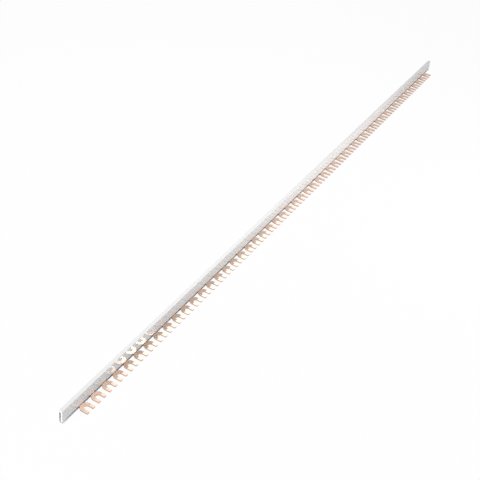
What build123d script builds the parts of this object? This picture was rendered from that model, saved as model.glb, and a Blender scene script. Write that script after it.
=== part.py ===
"""Single-pole comb busbar: a copper comb of forks in a plastic J-shaped profile.

X runs along the bar, the forks point to -Y and Z is up. The origin is the centre
of the footprint, level with the underside of the profile. All sizes are in millimetres.
"""

from build123d import *
import os

os.makedirs("parts", exist_ok=True)

# Whole bar: the comb has as many forks as fit inside the least cover at its ends
bar_length = 1000.0
module_pitch = 17.8
least_end_cover = 18.0

# Copper sheet
plate_thickness = 1.5

# Fork outline, seen from above
fork_reach = 12.0
fork_width = 12.2
slot_width = 5.5
slot_depth = 8.0
neck_width = 6.8
neck_straight = 0.5
shoulder_rise = 3.0
shoulder_fillet = 3.0

# Insulating profile, walls and edges
profile_height = 15.4
front_wall = 1.3
back_wall = 1.0
top_wall = 1.0
lip_thickness = 0.8
heel_radius = 2.0
crown_radius = 0.5
rib_above_slit = 2.3

# Clearances between the comb and the profile
back_gap = 0.1
front_gap = 0.6
top_gap = 0.4
slit_gap = 0.3
rib_gap = 0.12

# Heights worked out from the sizes above
fork_underside = lip_thickness
fork_top = fork_underside + plate_thickness
slit_top = fork_top + slit_gap
cavity_top = profile_height - top_wall
strip_top = cavity_top - top_gap

# Depths from front to back, centred on the footprint
cavity_depth = front_gap + plate_thickness + back_gap
profile_depth = front_wall + cavity_depth + back_wall
front_y = (fork_reach - profile_depth) / 2
cavity_front_y = front_y + front_wall
cavity_back_y = cavity_front_y + cavity_depth
back_y = front_y + profile_depth
strip_back_y = cavity_back_y - back_gap
strip_front_y = strip_back_y - plate_thickness
tip_y = front_y - fork_reach
neck_end_y = front_y - neck_straight
shoulder_y = neck_end_y - shoulder_rise

# The cavity's corner follows the outside of the bend that lies in it
heel_inner_radius = plate_thickness
rib_z = slit_top + rib_above_slit
rib_radius = front_gap - rib_gap

# The comb is cut half a pitch beyond its first and last forks
fork_count = int((bar_length - 2 * least_end_cover) // module_pitch)
strip_length = module_pitch * fork_count


def corners_at(sketch, *points):
    """Vertices of a sketch that lie at the given points of its own plane."""
    return [
        corner
        for point in points
        for corner in sketch.vertices()
        if (Vector(corner) - Vector(*point)).length < 1e-6
    ]


# Extruded insulating profile: closed top, rounded heel, lip under the forks
with BuildPart() as insulating_profile:
    with BuildSketch(Plane.YZ) as profile_section:
        with BuildLine():
            Polyline(
                (front_y, slit_top),
                (front_y, profile_height),
                (back_y, profile_height),
                (back_y, 0),
                (front_y, 0),
                (front_y, lip_thickness),
                (cavity_back_y, lip_thickness),
                (cavity_back_y, cavity_top),
                (cavity_front_y, cavity_top),
                (cavity_front_y, slit_top),
                close=True,
            )
        make_face()
        fillet(corners_at(profile_section, (back_y, 0)), heel_radius)
        fillet(corners_at(profile_section, (cavity_back_y, lip_thickness)), heel_inner_radius)
        crown = corners_at(profile_section, (front_y, profile_height), (back_y, profile_height))
        fillet(crown, crown_radius)
        # A half-round rib on the front wall keeps the strip against the back wall
        with Locations((cavity_front_y, rib_z)):
            Circle(rib_radius)
    extrude(amount=bar_length / 2, both=True)
insulating_profile.part.label = "insulating_profile"
export_step(insulating_profile.part, "parts/insulating_profile.step")


# One fork of the comb, from its bend under the strip to the tips of its legs
with BuildPart() as fork:
    with BuildSketch(Plane.XY.offset(fork_underside)) as fork_outline:
        with BuildLine():
            Polyline(
                (-neck_width / 2, strip_front_y),
                (-neck_width / 2, neck_end_y),
                (-fork_width / 2, shoulder_y),
                (-fork_width / 2, tip_y),
                (fork_width / 2, tip_y),
                (fork_width / 2, shoulder_y),
                (neck_width / 2, neck_end_y),
                (neck_width / 2, strip_front_y),
                close=True,
            )
        make_face()
        shoulders = [(-fork_width / 2, shoulder_y), (fork_width / 2, shoulder_y)]
        fillet(corners_at(fork_outline, *shoulders), shoulder_fillet)
        # The slot is cut from beyond the tips, so only its inner end is round
        with Locations((0, tip_y)):
            SlotOverall(2 * slot_depth, slot_width, rotation=90, mode=Mode.SUBTRACT)
    extrude(amount=plate_thickness)
    # The sheet is folded about its inner corner, so the outside of the bend is round
    with BuildSketch(Plane.YZ):
        with Locations((strip_front_y, fork_top)):
            Circle(plate_thickness)
            Rectangle(
                plate_thickness,
                plate_thickness,
                align=(Align.MIN, Align.MAX),
                mode=Mode.INTERSECT,
            )
    extrude(amount=neck_width / 2, both=True)


# Stamped copper comb: an upright strip with its forks bent forward through the slit
with BuildPart() as copper_comb:
    with BuildSketch(Plane.YZ):
        with Locations((strip_back_y, strip_top)):
            Rectangle(plate_thickness, strip_top - fork_top, align=(Align.MAX, Align.MAX))
    extrude(amount=strip_length / 2, both=True)
    with GridLocations(module_pitch, 0, fork_count, 1):
        add(fork.part)
copper_comb.part.label = "copper_comb"
export_step(copper_comb.part, "parts/copper_comb.step")
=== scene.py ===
"""Dresses the comb busbar: a glossy grey profile and a stamped copper comb.

Lengths in the classes are millimetres in the part's own frame, where X runs along the
bar, the forks point to -Y and Z is up. Each mesh is made in metres where it belongs.
"""

import logging
import math
from dataclasses import dataclass, field
from enum import Enum

import bmesh
import bpy
from mathutils import Matrix, Vector


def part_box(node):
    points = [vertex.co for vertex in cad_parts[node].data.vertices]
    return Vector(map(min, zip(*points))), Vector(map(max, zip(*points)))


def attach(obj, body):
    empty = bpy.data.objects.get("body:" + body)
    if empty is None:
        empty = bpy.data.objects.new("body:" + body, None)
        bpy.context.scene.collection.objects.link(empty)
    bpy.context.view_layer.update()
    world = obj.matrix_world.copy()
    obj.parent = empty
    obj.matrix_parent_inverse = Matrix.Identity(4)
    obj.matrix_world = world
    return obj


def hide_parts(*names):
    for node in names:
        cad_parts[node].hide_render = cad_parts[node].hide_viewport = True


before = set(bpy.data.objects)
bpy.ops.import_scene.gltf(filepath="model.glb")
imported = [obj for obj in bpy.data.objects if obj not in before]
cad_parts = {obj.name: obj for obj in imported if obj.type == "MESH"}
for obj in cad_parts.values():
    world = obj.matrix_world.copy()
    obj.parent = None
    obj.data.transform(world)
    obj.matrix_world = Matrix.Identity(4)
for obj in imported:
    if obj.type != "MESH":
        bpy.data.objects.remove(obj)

MM = 0.001
SAME_POINT = 1e-5
SHARP_EDGE = math.radians(40)
WEIGHT_BY_AREA = 100
WHITE = (1.0, 1.0, 1.0, 1.0)
HALF_BOUNCE = 0.5
# A Mix node's sockets for colours stand after those for numbers and vectors
MIX_COLOURS = (6, 7)
MIX_RESULT = 2
LOG = logging.getLogger("comb_busbar")

Point = tuple[float, float]
Colour = tuple[float, float, float]


class Skin(Enum):
    """How a face was made, which is also its material slot on the mesh."""

    FORMED = 0
    CUT = 1


class Ray(Enum):
    """Rays that see the white surround instead of the lit one."""

    CAMERA = "Is Camera Ray"
    GLOSSY = "Is Glossy Ray"
    TRANSMISSION = "Is Transmission Ray"


# Outlines and meshes


@dataclass(frozen=True)
class Corner:
    """A corner of an outline and the radius that rounds it, in a number of steps."""

    x: float
    y: float
    radius: float = 0.0
    steps: int = 4


def rounded(corners: list[Corner], closed: bool = False) -> list[Point]:
    """Turn corners into points, with an arc at each corner that has a radius.

    Args:
        corners: The outline's corners in order.
        closed: Whether the last corner joins the first.

    Returns:
        The outline's points, none of them twice in a row.
    """
    points: list[Point] = []
    for place, corner in enumerate(corners):
        here = Vector((corner.x, corner.y))
        loose_end = not closed and place in (0, len(corners) - 1)
        if corner.radius == 0 or loose_end:
            points.append((here.x, here.y))
            continue
        before = corners[place - 1]
        after = corners[(place + 1) % len(corners)]
        back = (Vector((before.x, before.y)) - here).normalized()
        ahead = (Vector((after.x, after.y)) - here).normalized()
        half = back.angle(ahead) / 2
        centre = here + (back + ahead).normalized() * corner.radius / math.sin(half)
        start = here + back * corner.radius / math.tan(half) - centre
        end = here + ahead * corner.radius / math.tan(half) - centre
        turn = math.atan2(start.x * end.y - start.y * end.x, start.dot(end))
        for step in range(corner.steps + 1):
            cos, sin = math.cos(turn * step / corner.steps), math.sin(turn * step / corner.steps)
            points.append(
                (centre.x + start.x * cos - start.y * sin, centre.y + start.x * sin + start.y * cos)
            )
    kept = [points[0]]
    for point in points[1:]:
        if math.dist(point, kept[-1]) > SAME_POINT:
            kept.append(point)
    if closed and math.dist(kept[0], kept[-1]) < SAME_POINT:
        kept.pop()
    return kept


def divided(points: list[Point], longest: float) -> list[Point]:
    """Split the runs of an outline that are longer than a given length.

    Args:
        points: The outline's points.
        longest: The longest run that stays whole.

    Returns:
        The points with evenly spaced ones added on the long runs.
    """
    result = [points[0]]
    for start, end in zip(points, points[1:]):
        pieces = max(1, math.ceil(math.dist(start, end) / longest))
        for step in range(1, pieces + 1):
            share = step / pieces
            result.append(
                (start[0] + (end[0] - start[0]) * share, start[1] + (end[1] - start[1]) * share)
            )
    return result


def mirrored(points: list[Point]) -> list[Point]:
    """Return the points of the other half, from the middle outwards."""
    return [(-x, y) for x, y in reversed(points)]


def put_in_scene(name: str, mesh: bpy.types.Mesh) -> bpy.types.Object:
    """Link a mesh to the scene as an object at the origin.

    Args:
        name: The object's name.
        mesh: Its mesh, in metres.

    Returns:
        The new object.
    """
    made = bpy.data.objects.new(name, mesh)
    bpy.context.scene.collection.objects.link(made)
    return made


def mesh_of(name: str, shape: bmesh.types.BMesh) -> bpy.types.Mesh:
    """Write a shape in millimetres to a smooth mesh in metres.

    Args:
        name: The mesh's name.
        shape: The shape, which is freed.

    Returns:
        The new mesh.
    """
    shape.transform(Matrix.Scale(MM, 4))
    for face in shape.faces:
        face.smooth = True
    mesh = bpy.data.meshes.new(name)
    shape.to_mesh(mesh)
    shape.free()
    return mesh


def baked(made: bpy.types.Object) -> bpy.types.Object:
    """Replace an object by a plain one that has its evaluated mesh.

    Args:
        made: An object with modifiers, which is removed.

    Returns:
        An object of the same name, without modifiers.
    """
    graph = bpy.context.evaluated_depsgraph_get()
    mesh = bpy.data.meshes.new_from_object(
        made.evaluated_get(graph), preserve_all_data_layers=True, depsgraph=graph
    )
    name = made.name
    bpy.data.objects.remove(made)
    mesh.name = name
    return put_in_scene(name, mesh)


def ease_edges(made: bpy.types.Object, width: float, segments: int = 2) -> bpy.types.Object:
    """Round an object's sharp edges and bake the result.

    Args:
        made: The object.
        width: The width of the rounding in millimetres.
        segments: The faces across each rounding.

    Returns:
        The baked object.
    """
    bevel = made.modifiers.new("eased_edges", "BEVEL")
    bevel.width = width * MM
    bevel.segments = segments
    bevel.limit_method = "ANGLE"
    bevel.angle_limit = SHARP_EDGE
    # Flat faces mirror truly only if the roundings beside them don't turn their normals
    flat = made.modifiers.new("flat_face_normals", "WEIGHTED_NORMAL")
    flat.weight = WEIGHT_BY_AREA
    return baked(made)


# Node trees


@dataclass
class NodeDesk:
    """Adds nodes to one tree and links them."""

    tree: bpy.types.NodeTree

    def node(self, kind: str, **values: object) -> bpy.types.Node:
        """Add a node and set its properties, or its inputs by name.

        Args:
            kind: The node's type.
            **values: Properties, or inputs written with underscores for spaces.

        Returns:
            The new node.
        """
        made = self.tree.nodes.new(kind)
        for name, value in values.items():
            if hasattr(made, name):
                setattr(made, name, value)
            else:
                self.feed(made.inputs[name.replace("_", " ")], value)
        return made

    def feed(self, socket: bpy.types.NodeSocket, value: object) -> None:
        """Link a socket to another one, or set its value.

        Args:
            socket: The input to feed.
            value: A socket or a value.
        """
        if isinstance(value, bpy.types.NodeSocket):
            self.tree.links.new(value, socket)
        else:
            socket.default_value = value

    def maths(self, operation: str, *terms: object, clamp: bool = False) -> bpy.types.NodeSocket:
        """Add a Math node.

        Args:
            operation: The node's operation.
            *terms: Sockets or numbers.
            clamp: Whether the result stays between 0 and 1.

        Returns:
            The result's socket.
        """
        made = self.node("ShaderNodeMath", operation=operation, use_clamp=clamp)
        for socket, term in zip(made.inputs, terms):
            self.feed(socket, term)
        return made.outputs[0]

    def scaled(self, value: bpy.types.NodeSocket, low: float, high: float) -> bpy.types.NodeSocket:
        """Map 0 to 1 onto a range.

        Args:
            value: The socket to map.
            low: The result at 0.
            high: The result at 1.

        Returns:
            The result's socket.
        """
        made = self.node("ShaderNodeMapRange", To_Min=low, To_Max=high)
        self.feed(made.inputs["Value"], value)
        return made.outputs["Result"]

    def mixed(
        self, factor: bpy.types.NodeSocket, first: object, second: object
    ) -> bpy.types.NodeSocket:
        """Mix two colours.

        Args:
            factor: The share of the second colour.
            first: A socket or colour.
            second: A socket or colour.

        Returns:
            The mixed colour's socket.
        """
        made = self.node("ShaderNodeMix", data_type="RGBA")
        self.feed(made.inputs["Factor"], factor)
        for place, colour in zip(MIX_COLOURS, (first, second)):
            self.feed(made.inputs[place], (*colour, 1.0) if isinstance(colour, tuple) else colour)
        return made.outputs[MIX_RESULT]

    def blended(
        self, share: bpy.types.NodeSocket, first: bpy.types.Node, second: bpy.types.Node
    ) -> bpy.types.NodeSocket:
        """Mix two shaders.

        Args:
            share: The share of the second shader.
            first: A shader node.
            second: A shader node.

        Returns:
            The mixed shader's socket.
        """
        made = self.node("ShaderNodeMixShader")
        for socket, value in zip(made.inputs, (share, first.outputs[0], second.outputs[0])):
            self.feed(socket, value)
        return made.outputs[0]


def new_group(
    name: str, kind: str, inputs: dict[str, tuple[str, object]], outputs: dict[str, str]
) -> tuple[NodeDesk, bpy.types.Node, bpy.types.Node]:
    """Make a node group with named inputs and outputs.

    Args:
        name: The group's name.
        kind: The tree's type.
        inputs: Each input's socket type and default, or None for no default.
        outputs: Each output's socket type.

    Returns:
        The group's desk, its input node and its output node.
    """
    tree = bpy.data.node_groups.new(name, kind)
    for title, (socket_type, default) in inputs.items():
        socket = tree.interface.new_socket(title, in_out="INPUT", socket_type=socket_type)
        if default is not None:
            socket.default_value = default
    for title, socket_type in outputs.items():
        tree.interface.new_socket(title, in_out="OUTPUT", socket_type=socket_type)
    desk = NodeDesk(tree)
    return desk, desk.node("NodeGroupInput"), desk.node("NodeGroupOutput")


def new_material(name: str) -> tuple[bpy.types.Material, NodeDesk]:
    """Make a material with an empty tree.

    Args:
        name: The material's name.

    Returns:
        The material and its tree's desk.
    """
    made = bpy.data.materials.new(name)
    made.use_nodes = True
    made.node_tree.nodes.clear()
    return made, NodeDesk(made.node_tree)


def add_geometry_tree(
    made: bpy.types.Object, tree: bpy.types.NodeTree, values: dict[str, object]
) -> None:
    """Put a geometry tree on an object and set its inputs by their identifiers.

    Args:
        made: The object.
        tree: The geometry tree.
        values: The inputs' values by name.
    """
    modifier = made.modifiers.new(tree.name, "NODES")
    modifier.node_group = tree
    for item in tree.interface.items_tree:
        if item.item_type == "SOCKET" and item.in_out == "INPUT" and item.name in values:
            modifier[item.identifier] = values[item.name]


# Finishes


NOISE_LOW = 0.3
NOISE_HIGH = 0.7
STREAK_ROUGHNESS = 0.6
CLOUD_DISTORTION = 0.4
BROAD_SHARE = 0.9
FINE_TIMES = 9.0
CLOUD_START = 0.78
CLOUD_REACH = 0.5
CLOUD_EDGE = 0.22


def streak_group() -> bpy.types.NodeTree:
    """Build the lines that rolling, extruding, shearing and sawing leave on a surface.

    Returns:
        A group whose Streaks output runs from 0 to 1 round 0.5.
    """
    desk, ins, outs = new_group(
        "tool_streaks",
        "ShaderNodeTree",
        {
            "Vector": ("NodeSocketVector", None),
            "Repeats": ("NodeSocketVector", (1.0, 1.0, 1.0)),
            "Detail": ("NodeSocketFloat", 3.0),
        },
        {"Streaks": "NodeSocketFloat"},
    )
    stretched = desk.node("ShaderNodeVectorMath", operation="MULTIPLY")
    desk.feed(stretched.inputs[0], ins.outputs["Vector"])
    desk.feed(stretched.inputs[1], ins.outputs["Repeats"])
    noise = desk.node(
        "ShaderNodeTexNoise",
        Vector=stretched.outputs[0],
        Scale=1.0,
        Detail=ins.outputs["Detail"],
        Roughness=STREAK_ROUGHNESS,
    )
    spread = desk.node("ShaderNodeMapRange", From_Min=NOISE_LOW, From_Max=NOISE_HIGH)
    desk.feed(spread.inputs["Value"], noise.outputs[0])
    desk.feed(outs.inputs["Streaks"], spread.outputs["Result"])
    return desk.tree


def haze_group() -> bpy.types.NodeTree:
    """Build the cloudy marks of handling and storage.

    Returns:
        A group whose Haze output is 0 on clean surface and 1 where it is most marked.
    """
    desk, ins, outs = new_group(
        "handling_haze",
        "ShaderNodeTree",
        {
            "Vector": ("NodeSocketVector", None),
            "Repeats": ("NodeSocketFloat", 60.0),
            "Cover": ("NodeSocketFloat", 0.5),
        },
        {"Haze": "NodeSocketFloat"},
    )
    broad = desk.node(
        "ShaderNodeTexNoise",
        Vector=ins.outputs["Vector"],
        Scale=ins.outputs["Repeats"],
        Detail=4.0,
        Distortion=CLOUD_DISTORTION,
    )
    fine_repeats = desk.maths("MULTIPLY", ins.outputs["Repeats"], FINE_TIMES)
    fine = desk.node(
        "ShaderNodeTexNoise", Vector=ins.outputs["Vector"], Scale=fine_repeats, Detail=2.0
    )
    broad_part = desk.maths("MULTIPLY", broad.outputs[0], BROAD_SHARE)
    fine_part = desk.maths("MULTIPLY", fine.outputs[0], 1.0 - BROAD_SHARE)
    both = desk.maths("ADD", broad_part, fine_part)
    cover = desk.maths("MULTIPLY", ins.outputs["Cover"], CLOUD_REACH)
    start = desk.maths("SUBTRACT", CLOUD_START, cover)
    cloud = desk.node("ShaderNodeMapRange", interpolation_type="SMOOTHSTEP")
    desk.feed(cloud.inputs["Value"], both)
    desk.feed(cloud.inputs["From Min"], start)
    desk.feed(cloud.inputs["From Max"], desk.maths("ADD", start, CLOUD_EDGE))
    desk.feed(outs.inputs["Haze"], cloud.outputs["Result"])
    return desk.tree


@dataclass(frozen=True)
class Finish:
    """A surface with tool streaks and handling haze over a base colour.

    Streak repeats are per metre along X, Y and Z. Colours are linear.
    """

    name: str
    colour: Colour
    streak_colour: Colour
    haze_colour: Colour
    metallic: float
    roughness: tuple[float, float]
    haze_roughness: float
    streak_repeats: tuple[float, float, float]
    streak_detail: float
    streak_depth: float
    haze_repeats: float
    haze_cover: float
    colour_share: float = 0.5
    haze_share: float = 0.3

    def build(self, streaks: bpy.types.NodeTree, haze: bpy.types.NodeTree) -> bpy.types.Material:
        """Build the material.

        Args:
            streaks: The group that draws tool streaks.
            haze: The group that draws handling haze.

        Returns:
            The new material.
        """
        made, desk = new_material(self.name)
        place = desk.node("ShaderNodeTexCoord").outputs["Object"]
        lines = desk.node("ShaderNodeGroup", node_tree=streaks, Detail=self.streak_detail)
        desk.feed(lines.inputs["Vector"], place)
        desk.feed(lines.inputs["Repeats"], self.streak_repeats)
        marks = desk.node("ShaderNodeGroup", node_tree=haze, Repeats=self.haze_repeats)
        desk.feed(marks.inputs["Vector"], place)
        desk.feed(marks.inputs["Cover"], self.haze_cover)
        streak, cloud = lines.outputs["Streaks"], marks.outputs["Haze"]
        surface = desk.node("ShaderNodeBsdfPrincipled", Metallic=self.metallic)
        tinted = desk.mixed(
            desk.maths("MULTIPLY", streak, self.colour_share), self.colour, self.streak_colour
        )
        desk.feed(
            surface.inputs["Base Color"],
            desk.mixed(desk.maths("MULTIPLY", cloud, self.haze_share), tinted, self.haze_colour),
        )
        smooth, rough = self.roughness
        desk.feed(
            surface.inputs["Roughness"],
            desk.maths(
                "ADD",
                desk.scaled(streak, smooth, rough),
                desk.maths("MULTIPLY", cloud, self.haze_roughness),
                clamp=True,
            ),
        )
        relief = desk.node("ShaderNodeBump", Strength=1.0, Distance=self.streak_depth * MM)
        desk.feed(relief.inputs["Height"], streak)
        desk.feed(surface.inputs["Normal"], relief.outputs["Normal"])
        output = desk.node("ShaderNodeOutputMaterial")
        desk.feed(output.inputs["Surface"], surface.outputs[0])
        return made


EXTRUDED_PLASTIC = Finish(
    name="extruded_grey_plastic",
    colour=(0.78, 0.78, 0.78),
    streak_colour=(0.74, 0.745, 0.75),
    haze_colour=(0.71, 0.70, 0.69),
    metallic=0.0,
    roughness=(0.06, 0.10),
    haze_roughness=0.05,
    streak_repeats=(4.0, 900.0, 900.0),
    streak_detail=3.0,
    streak_depth=0.0006,
    haze_repeats=45.0,
    haze_cover=0.45,
)
SAWN_PLASTIC = Finish(
    name="sawn_grey_plastic",
    colour=(0.80, 0.80, 0.80),
    streak_colour=(0.70, 0.70, 0.70),
    haze_colour=(0.74, 0.73, 0.72),
    metallic=0.0,
    roughness=(0.42, 0.60),
    haze_roughness=0.05,
    streak_repeats=(200.0, 5000.0, 300.0),
    streak_detail=4.0,
    streak_depth=0.02,
    haze_repeats=250.0,
    haze_cover=0.4,
)
ROLLED_COPPER = Finish(
    name="rolled_copper",
    colour=(0.73, 0.54, 0.44),
    streak_colour=(0.68, 0.49, 0.38),
    haze_colour=(0.58, 0.43, 0.28),
    metallic=1.0,
    roughness=(0.07, 0.11),
    haze_roughness=0.05,
    streak_repeats=(60.0, 3500.0, 3500.0),
    streak_detail=4.0,
    streak_depth=0.0008,
    haze_repeats=70.0,
    haze_cover=0.5,
)
# Darker than the rolled copper: partly the duller sheared surface, partly painted shade for the dark
# surroundings that these side faces mirror.
SHEARED_COPPER_WITH_PAINTED_SHADE = Finish(
    name="sheared_copper_with_painted_shade",
    colour=(0.62, 0.44, 0.34),
    streak_colour=(0.50, 0.35, 0.26),
    haze_colour=(0.40, 0.28, 0.19),
    metallic=1.0,
    roughness=(0.34, 0.50),
    haze_roughness=0.08,
    streak_repeats=(4200.0, 4200.0, 350.0),
    streak_detail=3.0,
    streak_depth=0.015,
    haze_repeats=160.0,
    haze_cover=0.5,
)


# The part


@dataclass
class InsulatingProfile:
    """Extruded cover with a closed top, a rounded heel and a lip under the forks."""

    length: float
    front_y: float
    back_y: float
    height: float
    front_wall: float = 1.3
    back_wall: float = 1.0
    top_wall: float = 1.0
    lip_thickness: float = 0.8
    slit_top: float = 2.6
    heel_radius: float = 2.0
    heel_inner_radius: float = 1.5
    crown_radius: float = 0.5
    lip_edge_radius: float = 0.2
    cavity_corner_radius: float = 0.3
    rib_z: float = 4.9
    rib_radius: float = 0.48
    crown_steps: int = 6
    heel_steps: int = 12
    heel_inner_steps: int = 10
    rib_steps: int = 6
    stations: int = 40
    sawn_edge: float = 0.08
    name: str = "profile_extrusion"

    def section(self) -> list[Point]:
        """Draw the outline of the cross-section.

        Returns:
            The outline's points in Y and Z.
        """
        inner_front = self.front_y + self.front_wall
        inner_back = self.back_y - self.back_wall
        ceiling = self.height - self.top_wall
        rib_high, rib_low = self.rib_z + self.rib_radius, self.rib_z - self.rib_radius
        rib_y = inner_front + self.rib_radius
        return rounded(
            [
                Corner(self.front_y, self.slit_top, self.lip_edge_radius),
                Corner(self.front_y, self.height, self.crown_radius, self.crown_steps),
                Corner(self.back_y, self.height, self.crown_radius, self.crown_steps),
                Corner(self.back_y, 0, self.heel_radius, self.heel_steps),
                Corner(self.front_y, 0, self.lip_edge_radius),
                Corner(self.front_y, self.lip_thickness, self.lip_edge_radius),
                Corner(
                    inner_back, self.lip_thickness, self.heel_inner_radius, self.heel_inner_steps
                ),
                Corner(inner_back, ceiling, self.cavity_corner_radius),
                Corner(inner_front, ceiling, self.cavity_corner_radius),
                Corner(inner_front, rib_high),
                Corner(rib_y, rib_high, self.rib_radius, self.rib_steps),
                Corner(rib_y, rib_low, self.rib_radius, self.rib_steps),
                Corner(inner_front, rib_low),
                Corner(inner_front, self.slit_top, self.lip_edge_radius),
            ],
            closed=True,
        )

    def mesh(self) -> bpy.types.Mesh:
        """Extrude the section along the bar and close both sawn ends.

        Returns:
            The new mesh.
        """
        shape = bmesh.new()
        section = self.section()
        rings = []
        for station in range(self.stations + 1):
            x = (station / self.stations - 0.5) * self.length
            rings.append([shape.verts.new((x, y, z)) for y, z in section])
        count = len(section)
        for ring, after in zip(rings, rings[1:]):
            for place in range(count):
                following = (place + 1) % count
                shape.faces.new((ring[place], ring[following], after[following], after[place]))
        for ring in (rings[0], rings[-1]):
            shape.faces.new(ring).material_index = Skin.CUT.value
        bmesh.ops.recalc_face_normals(shape, faces=shape.faces)
        return mesh_of(self.name, shape)

    def build(self, formed: bpy.types.Material, cut: bpy.types.Material) -> bpy.types.Object:
        """Make the profile and dress it.

        Args:
            formed: The finish of the extruded faces.
            cut: The finish of the sawn ends.

        Returns:
            The finished object.
        """
        mesh = self.mesh()
        mesh.materials.append(formed)
        mesh.materials.append(cut)
        made = ease_edges(put_in_scene(self.name, mesh), self.sawn_edge)
        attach(made, "root")
        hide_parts("insulating_profile")
        return made


@dataclass
class CopperComb:
    """Comb stamped flat from sheet, folded, and repeated once for each module."""

    fork_count: int
    tip_y: float
    fork_underside: float
    strip_top: float
    strip_back_y: float
    mouth_y: float
    module_pitch: float = 17.8
    sheet: float = 1.5
    fork_width: float = 12.2
    slot_width: float = 5.5
    slot_depth: float = 8.0
    neck_width: float = 6.8
    neck_end: float = 11.5
    shoulder_end: float = 8.5
    shoulder_fillet: float = 3.0
    shoulder_steps: int = 5
    neck_fillet: float = 1.2
    tip_rounding: float = 0.5
    bend_radius: float = 0.4
    bend_steps: int = 8
    springback: float = 1.5
    relief_radius: float = 0.3
    longest_run: float = 1.0
    sheared_edge: float = 0.12
    weld_distance: float = 0.01
    name: str = "stamped_comb"
    fork_top: float = field(init=False)
    fold_y: float = field(init=False)
    fold_angle: float = field(init=False)
    fold_length: float = field(init=False)

    def __post_init__(self) -> None:
        """Work out where the fold lies, so that the strip ends at its place."""
        self.fold_y = self.strip_back_y - self.sheet - self.bend_radius
        droop = math.sin(math.radians(self.springback))
        self.fork_underside += droop * (self.fold_y - self.mouth_y)
        self.fork_top = self.fork_underside + self.sheet
        self.fold_angle = math.radians(90 - self.springback)
        self.fold_length = self.fold_angle * (self.bend_radius + self.sheet / 2)

    def rungs(self) -> list[tuple[Point, Point]]:
        """Pair the fork's outer outline with its slot, from one leg's tip to the other's.

        Returns:
            Pairs of an outer and an inner point; round the slot's end they lie on rays
            from its centre.
        """
        half_fork, half_slot = self.fork_width / 2, self.slot_width / 2
        centre_y = self.tip_y + self.slot_depth - half_slot
        tip, bevel = self.tip_y, self.tip_rounding
        outer_tip = rounded(
            [Corner(-half_slot, tip), Corner(-half_fork, tip, bevel), Corner(-half_fork, centre_y)]
        )[1:-1]
        inner_tip = rounded(
            [Corner(-half_fork, tip), Corner(-half_slot, tip, bevel), Corner(-half_slot, centre_y)]
        )[1:-1]
        left = list(zip(outer_tip, inner_tip))
        shoulder = rounded(
            [
                Corner(-half_fork, centre_y),
                Corner(
                    -half_fork, tip + self.shoulder_end, self.shoulder_fillet, self.shoulder_steps
                ),
                Corner(-self.neck_width / 2, tip + self.neck_end, self.neck_fillet),
                Corner(-self.neck_width / 2, self.fold_y),
                Corner(0, self.fold_y),
            ]
        )
        for x, y in divided(shoulder, self.longest_run):
            ray = Vector((x, y - centre_y)).normalized() * half_slot
            left.append(((x, y), (ray.x, centre_y + ray.y)))
        right = [((-outer[0], outer[1]), (-inner[0], inner[1])) for outer, inner in reversed(left)]
        return left + right[1:]

    def flat_quads(self) -> list[list[Point]]:
        """Lay out one module of the flat blank as quads.

        Returns:
            The quads of the fork, of the neck where it is folded, and of the strip.
        """
        rungs = self.rungs()
        quads = [
            [inner, outer, next_outer, next_inner]
            for (outer, inner), (next_outer, next_inner) in zip(rungs, rungs[1:])
        ]
        fold = [outer[0] for outer, _ in rungs if abs(outer[1] - self.fold_y) < SAME_POINT]
        levels = [
            self.fold_y + self.fold_length * step / self.bend_steps
            for step in range(self.bend_steps + 1)
        ]
        for low, high in zip(levels, levels[1:]):
            for x, next_x in zip(fold, fold[1:]):
                quads.append([(x, low), (next_x, low), (next_x, high), (x, high)])
        fold_end = levels[-1]
        strip_low = fold_end + self.relief_radius
        relief = rounded(
            [
                Corner(-self.module_pitch / 2, strip_low),
                Corner(fold[0], strip_low, self.relief_radius),
                Corner(fold[0], fold_end),
            ]
        )
        lower = relief + [(x, fold_end) for x in fold[1:-1]] + mirrored(relief)
        strip_high = fold_end + self.strip_top - self.fork_top - self.bend_radius
        for (x, y), (next_x, next_y) in zip(lower, lower[1:]):
            quads.append([(x, y), (next_x, next_y), (next_x, strip_high), (x, strip_high)])
        return quads

    def blank(self) -> bpy.types.Object:
        """Make one module of the flat blank, open where its neighbours join it.

        Returns:
            The blank at the height of the forks, with its sheared faces marked.
        """
        shape = bmesh.new()
        cut = shape.faces.layers.bool.new("cut_face")
        floor: dict[tuple[int, int], bmesh.types.BMVert] = {}
        ceiling: dict[tuple[int, int], bmesh.types.BMVert] = {}

        def corner(x: float, y: float) -> tuple[int, int]:
            """Make a point's two vertices, if they are new.

            Args:
                x: The point's place along the bar.
                y: The point's place across it.

            Returns:
                The point's key among the vertices.
            """
            key = (round(x / SAME_POINT), round(y / SAME_POINT))
            if key not in floor:
                floor[key] = shape.verts.new((x, y, self.fork_underside))
                ceiling[key] = shape.verts.new((x, y, self.fork_top))
            return key

        for quad in self.flat_quads():
            keys = [corner(*point) for point in quad]
            shape.faces.new([ceiling[key] for key in keys])
            shape.faces.new([floor[key] for key in reversed(keys)])
        top_of = {floor[key]: ceiling[key] for key in floor}
        rim = [e for e in shape.edges if len(e.link_faces) == 1 and e.verts[0] in top_of]
        joint = self.module_pitch / 2 - SAME_POINT
        for edge in rim:
            first, second = edge.verts
            if min(abs(first.co.x), abs(second.co.x)) > joint:
                continue
            wall = shape.faces.new((first, second, top_of[second], top_of[first]))
            wall[cut] = True
        bmesh.ops.recalc_face_normals(shape, faces=shape.faces)
        return put_in_scene(self.name, mesh_of(self.name, shape))

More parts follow.
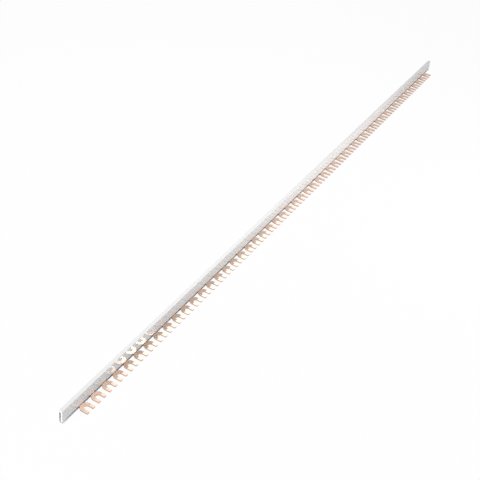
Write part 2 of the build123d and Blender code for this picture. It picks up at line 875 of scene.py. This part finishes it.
    def fold_tree(self) -> bpy.types.NodeTree:
        """Build the tree that folds the sheet beyond a line, and stands the strip upright.

        Returns:
            The tree.
        """
        desk, ins, outs = new_group(
            "fold_sheet",
            "GeometryNodeTree",
            {
                "Sheet": ("NodeSocketGeometry", None),
                "Fold Line": ("NodeSocketFloat", 0.0),
                "Fold Angle": ("NodeSocketFloat", math.pi / 2),
                "Inner Radius": ("NodeSocketFloat", 0.0),
                "Sheet Top": ("NodeSocketFloat", 0.0),
                "Thickness": ("NodeSocketFloat", 0.0),
            },
            {"Sheet": "NodeSocketGeometry"},
        )
        maths = desk.maths
        axes = desk.node("ShaderNodeSeparateXYZ")
        desk.feed(axes.inputs[0], desk.node("GeometryNodeInputPosition").outputs[0])
        x, y, z = axes.outputs
        line, radius = ins.outputs["Fold Line"], ins.outputs["Inner Radius"]
        limit = ins.outputs["Fold Angle"]
        neutral = maths("ADD", radius, maths("MULTIPLY", ins.outputs["Thickness"], 0.5))
        beyond = maths("MAXIMUM", maths("SUBTRACT", y, line), 0.0)
        before = maths("MINIMUM", maths("SUBTRACT", y, line), 0.0)
        bent = maths("MINIMUM", maths("DIVIDE", beyond, neutral), limit)
        run = maths("ADD", before, maths("SUBTRACT", beyond, maths("MULTIPLY", bent, neutral)))
        # Seen from the fold's centre, each point lies on an arm and a run along the sheet
        turn = maths("ADD", bent, maths("SUBTRACT", math.pi / 2, limit))
        centre = maths("ADD", ins.outputs["Sheet Top"], radius)
        arm = maths("SUBTRACT", centre, z)
        sine, cosine = maths("SINE", turn), maths("COSINE", turn)
        along_y = maths("ADD", maths("MULTIPLY", arm, sine), maths("MULTIPLY", run, cosine))
        along_z = maths("SUBTRACT", maths("MULTIPLY", run, sine), maths("MULTIPLY", arm, cosine))
        new_y, new_z = maths("ADD", line, along_y), maths("ADD", centre, along_z)
        folded = desk.node("ShaderNodeCombineXYZ")
        for socket, value in zip(folded.inputs, (x, new_y, new_z)):
            desk.feed(socket, value)
        moved = desk.node("GeometryNodeSetPosition")
        desk.feed(moved.inputs["Geometry"], ins.outputs["Sheet"])
        desk.feed(moved.inputs["Position"], folded.outputs[0])
        desk.feed(outs.inputs["Sheet"], moved.outputs[0])
        return desk.tree

    def row_tree(self) -> bpy.types.NodeTree:
        """Build the tree that repeats a module, welds the row and dresses it.

        Returns:
            The tree.
        """
        desk, ins, outs = new_group(
            "module_row",
            "GeometryNodeTree",
            {
                "Module": ("NodeSocketGeometry", None),
                "Fork Count": ("NodeSocketInt", 1),
                "Module Pitch": ("NodeSocketFloat", 0.0),
                "Weld Distance": ("NodeSocketFloat", 0.0),
                "Rolled Finish": ("NodeSocketMaterial", None),
                "Sheared Finish": ("NodeSocketMaterial", None),
            },
            {"Comb": "NodeSocketGeometry"},
        )
        count, pitch = ins.outputs["Fork Count"], ins.outputs["Module Pitch"]
        span = desk.maths("MULTIPLY", desk.maths("SUBTRACT", count, 1.0), pitch)
        start = desk.node("ShaderNodeCombineXYZ", X=desk.maths("MULTIPLY", span, -0.5))
        step = desk.node("ShaderNodeCombineXYZ", X=pitch)
        line = desk.node("GeometryNodeMeshLine", mode="OFFSET", Count=count)
        desk.feed(line.inputs["Start Location"], start.outputs[0])
        desk.feed(line.inputs["Offset"], step.outputs[0])
        copies = desk.node("GeometryNodeInstanceOnPoints")
        desk.feed(copies.inputs["Points"], line.outputs[0])
        desk.feed(copies.inputs["Instance"], ins.outputs["Module"])
        real = desk.node("GeometryNodeRealizeInstances")
        desk.feed(real.inputs[0], copies.outputs[0])
        welded = desk.node("GeometryNodeMergeByDistance", Distance=ins.outputs["Weld Distance"])
        desk.feed(welded.inputs["Geometry"], real.outputs[0])
        rolled = desk.node("GeometryNodeSetMaterial", Material=ins.outputs["Rolled Finish"])
        desk.feed(rolled.inputs["Geometry"], welded.outputs[0])
        marked = desk.node("GeometryNodeInputNamedAttribute", data_type="BOOLEAN", Name="cut_face")
        sheared = desk.node("GeometryNodeSetMaterial", Material=ins.outputs["Sheared Finish"])
        desk.feed(sheared.inputs["Geometry"], rolled.outputs[0])
        desk.feed(sheared.inputs["Selection"], marked.outputs["Attribute"])
        desk.feed(outs.inputs["Comb"], sheared.outputs[0])
        return desk.tree

    def build(self, formed: bpy.types.Material, cut: bpy.types.Material) -> bpy.types.Object:
        """Make the comb and dress it.

        Args:
            formed: The finish of the rolled faces.
            cut: The finish of the sheared faces.

        Returns:
            The finished object.
        """
        made = self.blank()
        add_geometry_tree(
            made,
            self.fold_tree(),
            {
                "Fold Line": self.fold_y * MM,
                "Fold Angle": self.fold_angle,
                "Inner Radius": self.bend_radius * MM,
                "Sheet Top": self.fork_top * MM,
                "Thickness": self.sheet * MM,
            },
        )
        add_geometry_tree(
            made,
            self.row_tree(),
            {
                "Fork Count": self.fork_count,
                "Module Pitch": self.module_pitch * MM,
                "Weld Distance": self.weld_distance * MM,
                "Rolled Finish": formed,
                "Sheared Finish": cut,
            },
        )
        made = baked(made)
        self.close_ends(made.data, cut)
        made = ease_edges(made, self.sheared_edge)
        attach(made, "root")
        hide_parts("copper_comb")
        return made

    def close_ends(self, mesh: bpy.types.Mesh, cut: bpy.types.Material) -> None:
        """Close the row's two open ends with sheared faces.

        Args:
            mesh: The baked row.
            cut: The finish of the sheared faces.
        """
        shape = bmesh.new()
        shape.from_mesh(mesh)
        rim = [edge for edge in shape.edges if len(edge.link_faces) == 1]
        ends = bmesh.ops.holes_fill(shape, edges=rim, sides=4)["faces"]
        for face in ends:
            face.material_index = mesh.materials.find(cut.name)
            face.smooth = True
        bmesh.ops.recalc_face_normals(shape, faces=shape.faces)
        shape.to_mesh(mesh)
        shape.free()


# The studio


def facing(place: Vector, aim: Vector) -> Matrix:
    """Return the matrix that stands at a place and looks at another along its -Z."""
    return Matrix.Translation(place) @ (aim - place).to_track_quat("-Z", "Y").to_matrix().to_4x4()


def square(name: str, half: float) -> bpy.types.Object:
    """Make a flat square at the origin.

    Args:
        name: The object's name.
        half: Half of its side, in metres.

    Returns:
        The new object.
    """
    shape = bmesh.new()
    bmesh.ops.create_grid(shape, x_segments=1, y_segments=1, size=half / MM)
    return put_in_scene(name, mesh_of(name, shape))


def set_stage(
    made: bpy.types.Object, material: bpy.types.Material, desk: NodeDesk, surface: bpy.types.NodeSocket
) -> None:
    """Dress a studio piece that isn't part of the object and lights nothing.

    Args:
        made: The studio piece.
        material: Its material.
        desk: The material's desk.
        surface: The shader to put out.
    """
    desk.feed(desk.node("ShaderNodeOutputMaterial").inputs["Surface"], surface)
    material.cycles.emission_sampling = "NONE"
    made.data.materials.append(material)


@dataclass(frozen=True)
class Softbox:
    """A square lamp that points at a place, in metres and watts.

    The metal mirrors the white surround and not the lamp.
    """

    name: str
    place: tuple[float, float, float]
    aim: tuple[float, float, float]
    size: float
    power: float

    def build(self) -> bpy.types.Object:
        """Make the lamp.

        Returns:
            The lamp's object.
        """
        lamp = bpy.data.lights.new(self.name, "AREA")
        lamp.shape = "SQUARE"
        lamp.size = self.size
        lamp.energy = self.power
        made = bpy.data.objects.new(self.name, lamp)
        made.matrix_world = facing(Vector(self.place), Vector(self.aim))
        made.visible_glossy = False
        bpy.context.scene.collection.objects.link(made)
        return made


@dataclass(frozen=True)
class MirrorCard:
    """A round bright card, in metres, that is only seen after a number of mirrorings.

    It fades out from a share of its radius to its rim, and lights nothing by itself. Its glow is a
    painted highlight, seen only in reflections.
    """

    name: str
    place: tuple[float, float, float]
    aim: tuple[float, float, float]
    radius: float
    strength: float
    mirrorings: float
    full_share: float = 0.0

    def build(self) -> bpy.types.Object:
        """Make the card.

        Returns:
            The card's object.
        """
        made = square(self.name, self.radius)
        made.data.transform(facing(Vector(self.place), Vector(self.aim)))
        made.visible_camera = made.visible_diffuse = made.visible_shadow = False
        material, desk = new_material(self.name)
        path = desk.node("ShaderNodeLightPath")
        depth, scatters = path.outputs["Glossy Depth"], path.outputs["Diffuse Depth"]
        mirrored_so = desk.maths("COMPARE", depth, self.mirrorings, HALF_BOUNCE)
        unscattered = desk.maths("LESS_THAN", scatters, HALF_BOUNCE)
        seen = desk.maths("MULTIPLY", mirrored_so, unscattered)
        offset = desk.node("ShaderNodeVectorMath", operation="DISTANCE")
        desk.feed(offset.inputs[0], desk.node("ShaderNodeTexCoord").outputs["Object"])
        desk.feed(offset.inputs[1], self.place)
        fade = desk.node("ShaderNodeMapRange", interpolation_type="SMOOTHSTEP")
        desk.feed(fade.inputs["Value"], offset.outputs["Value"])
        desk.feed(fade.inputs["From Min"], self.radius)
        desk.feed(fade.inputs["From Max"], self.radius * self.full_share)
        share = desk.maths("MULTIPLY", seen, fade.outputs["Result"])
        glow = desk.node("ShaderNodeEmission", Strength=self.strength)
        clear = desk.node("ShaderNodeBsdfTransparent")
        set_stage(made, material, desk, desk.blended(share, clear, glow))
        return made


@dataclass
class Studio:
    """White floor and surround, soft lamps, and the camera of the photograph."""

    floor_half: float = 6.0
    floor_colour: Colour = (0.80, 0.80, 0.80)
    floor_glow: float = 0.96
    surround_level: float = 0.20
    camera_place: tuple[float, float, float] = (-0.97583, -0.38240, 0.64164)
    camera_aim: tuple[float, float, float] = (-0.14220, 0.01624, 0.0)
    camera_roll: float = 6.541
    lens: float = 69.75
    sensor: float = 36.0
    clip: tuple[float, float] = (0.01, 50.0)
    lamps: tuple[Softbox, ...] = (
        Softbox("left_softbox", (-1.50, 0.10, 0.32), (-0.50, 0.0, 0.0), 0.6, 16.5),
        Softbox("overhead_softbox", (-0.04, 0.16, 1.00), (-0.04, 0.0, 0.0), 0.7, 7.2),
        Softbox("front_softbox", (0.12, -0.42, 0.10), (0.12, 0.0, 0.0), 0.19, 1.12),
        Softbox("wide_softbox", (-0.36, -0.55, 0.12), (-0.36, 0.0, 0.0), 0.23, 0.30),
    )
    cards: tuple[MirrorCard, ...] = (
        MirrorCard("glint_card", (0.240, -0.446, 0.653), (-0.383, 0.0, 0.002), 0.062, 11.0, 2.0, 0.6),
        MirrorCard("neck_highlight_card", (0.132, -0.426, 0.813), (-0.460, 0.0, 0.002), 0.175, 5.4, 2.0),
        MirrorCard("row_highlight_card", (0.923, -0.422, 0.584), (-0.100, 0.0, 0.002), 0.60, 1.5, 2.0, 0.8),
        MirrorCard("leg_highlight_card", (0.684, 0.454, 0.879), (-0.276, -0.005, 0.002), 0.62, 2.35, 1.0),
    )

    def sees_white(self, desk: NodeDesk) -> bpy.types.NodeSocket:
        """Pick out the rays that see the white surround.

        Args:
            desk: The desk of the tree that asks.

        Returns:
            A socket that is 1 for those rays and 0 for others.
        """
        path = desk.node("ShaderNodeLightPath")
        seen = path.outputs[Ray.CAMERA.value]
        for ray in (Ray.GLOSSY, Ray.TRANSMISSION):
            seen = desk.maths("ADD", seen, path.outputs[ray.value], clamp=True)
        return seen

    def surround(self) -> None:
        """Make a world that is white to look at and plainly lit."""
        world = bpy.data.worlds.new("white_surround")
        world.use_nodes = True
        world.node_tree.nodes.clear()
        desk = NodeDesk(world.node_tree)
        lit = desk.node("ShaderNodeBackground", Color=WHITE, Strength=self.surround_level)
        white = desk.node("ShaderNodeBackground", Color=WHITE, Strength=1.0)
        seen = desk.blended(self.sees_white(desk), lit, white)
        desk.feed(desk.node("ShaderNodeOutputWorld").inputs["Surface"], seen)
        bpy.context.scene.world = world

    def floor(self) -> bpy.types.Object:
        """Make the pale floor, which keeps a soft shadow.

        Returns:
            The floor's object.
        """
        made = square("studio_floor", self.floor_half)
        material, desk = new_material("pale_floor")
        matt = desk.node("ShaderNodeBsdfDiffuse", Color=(*self.floor_colour, 1.0))
        glow = desk.node("ShaderNodeEmission", Strength=1.0)
        share = desk.maths("MULTIPLY", self.sees_white(desk), self.floor_glow)
        set_stage(made, material, desk, desk.blended(share, matt, glow))
        return made

    def camera(self) -> bpy.types.Object:
        """Make the camera at the photograph's viewing angle.

        Returns:
            The camera's object.
        """
        lens = bpy.data.cameras.new("photo_camera")
        lens.lens = self.lens
        lens.sensor_width = self.sensor
        lens.clip_start, lens.clip_end = self.clip
        made = bpy.data.objects.new("photo_camera", lens)
        sight = facing(Vector(self.camera_place), Vector(self.camera_aim))
        made.matrix_world = sight @ Matrix.Rotation(math.radians(self.camera_roll), 4, "Z")
        bpy.context.scene.collection.objects.link(made)
        bpy.context.scene.camera = made
        return made

    def build(self) -> None:
        """Set up the whole studio."""
        self.surround()
        self.floor()
        for lamp in self.lamps:
            lamp.build()
        for card in self.cards:
            card.build()
        self.camera()
        bpy.context.scene.view_settings.view_transform = "Standard"


def report(made: bpy.types.Object) -> None:
    """Log a finished piece's size and its number of faces."""
    size = ", ".join(f"{length / MM:.2f}" for length in made.dimensions)
    LOG.info("%s: %s mm, %d faces", made.name, size, len(made.data.polygons))


def main() -> None:
    """Build the studio and both pieces."""
    logging.basicConfig(level=logging.INFO, format="%(name)s: %(message)s")
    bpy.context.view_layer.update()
    Studio().build()
    streaks, haze = streak_group(), haze_group()

    low, high = (corner / MM for corner in map(Vector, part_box("insulating_profile")))
    profile = InsulatingProfile(
        length=high.x - low.x, front_y=low.y, back_y=high.y, height=high.z
    )
    report(profile.build(EXTRUDED_PLASTIC.build(streaks, haze), SAWN_PLASTIC.build(streaks, haze)))

    low, high = (corner / MM for corner in map(Vector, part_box("copper_comb")))
    comb = CopperComb(
        fork_count=round((high.x - low.x) / CopperComb.module_pitch),
        tip_y=low.y,
        fork_underside=low.z,
        strip_top=high.z,
        strip_back_y=high.y,
        mouth_y=profile.front_y,
    )
    report(comb.build(ROLLED_COPPER.build(streaks, haze), SHEARED_COPPER_WITH_PAINTED_SHADE.build(streaks, haze)))


if __name__ == "__main__":
    main()
